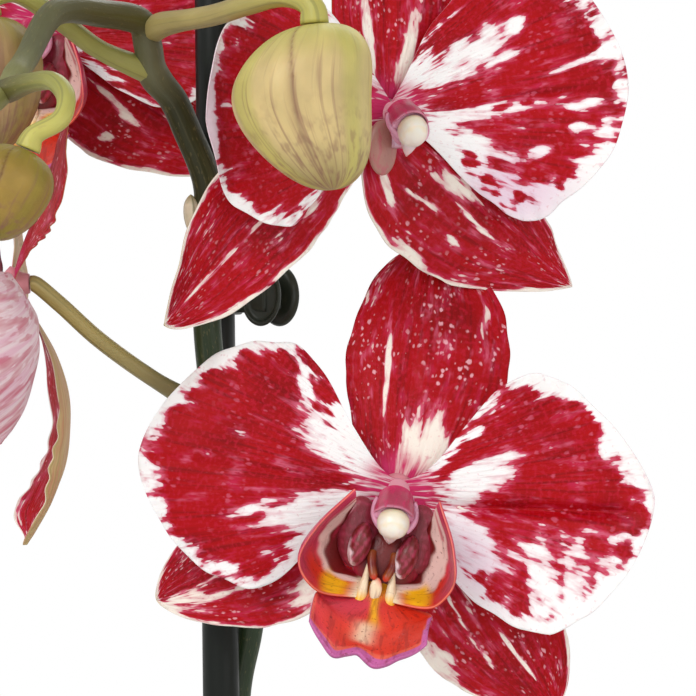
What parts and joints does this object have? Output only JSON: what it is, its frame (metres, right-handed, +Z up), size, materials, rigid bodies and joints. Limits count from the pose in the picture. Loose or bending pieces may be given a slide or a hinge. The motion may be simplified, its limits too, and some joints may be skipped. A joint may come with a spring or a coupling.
{
  "type": "potted moth orchid",
  "caption": "Moth orchid in a lined ceramic pot, with arching leaves and a staked flower spike of splashed red and white blooms and nodding buds.",
  "frame": {"origin": "centre of the cover pot's flat foot, on the surface it stands on", "axes": "+Z up along the pot's axis, -Y towards the viewer whom the two nearest blooms face, +X to that viewer's right"},
  "size_m": [0.3314, 0.2612, 0.5661],
  "materials": {
    "sepal": "satin",
    "petal": "satin",
    "lip": "satin",
    "column": "satin",
    "anther_cap": "satin",
    "flower_spike": "satin",
    "bud": "satin",
    "crown": "satin",
    "leaf": "satin",
    "aerial_root": "matte",
    "stake": "satin",
    "clip": "satin",
    "bark": "rough",
    "liner": "translucent",
    "glaze": "glossy"
  },
  "bodies": {
    "root": {"bloom_lower_sepals": "sepal", "bloom_lower_petals": "petal", "bloom_lower_column": "column", "bloom_lower_anther_cap": "anther_cap", "bloom_lower_lip": "lip", "bloom_upper_sepals": "sepal", "bloom_upper_petals": "petal", "bloom_upper_column": "column", "bloom_upper_anther_cap": "anther_cap", "bloom_left_sepals": "sepal", "bloom_left_petals": "petal", "bloom_left_column": "column", "bloom_left_anther_cap": "anther_cap", "bloom_left_lip": "lip", "bloom_back_sepals": "sepal", "bloom_back_petals": "petal", "bloom_back_column": "column", "bloom_back_anther_cap": "anther_cap", "bloom_back_lip": "lip", "flower_spike": "flower_spike", "bud_front": "bud", "bud_left": "bud", "bud_rear": "bud", "bud_fourth": "bud", "bud_fifth": "bud", "crown": "crown", "leaf_1": "leaf", "leaf_2": "leaf", "leaf_3": "leaf", "leaf_4": "leaf", "leaf_5": "leaf", "aerial_root_1": "aerial_root", "aerial_root_2": "aerial_root", "aerial_root_3": "aerial_root", "aerial_root_4": "aerial_root", "aerial_root_5": "aerial_root", "stake": "stake", "clip_upper": "clip", "clip_lower": "clip", "bark_mix": "bark", "liner_pot": "liner", "cover_pot": "glaze"}
  },
  "joints": []
}
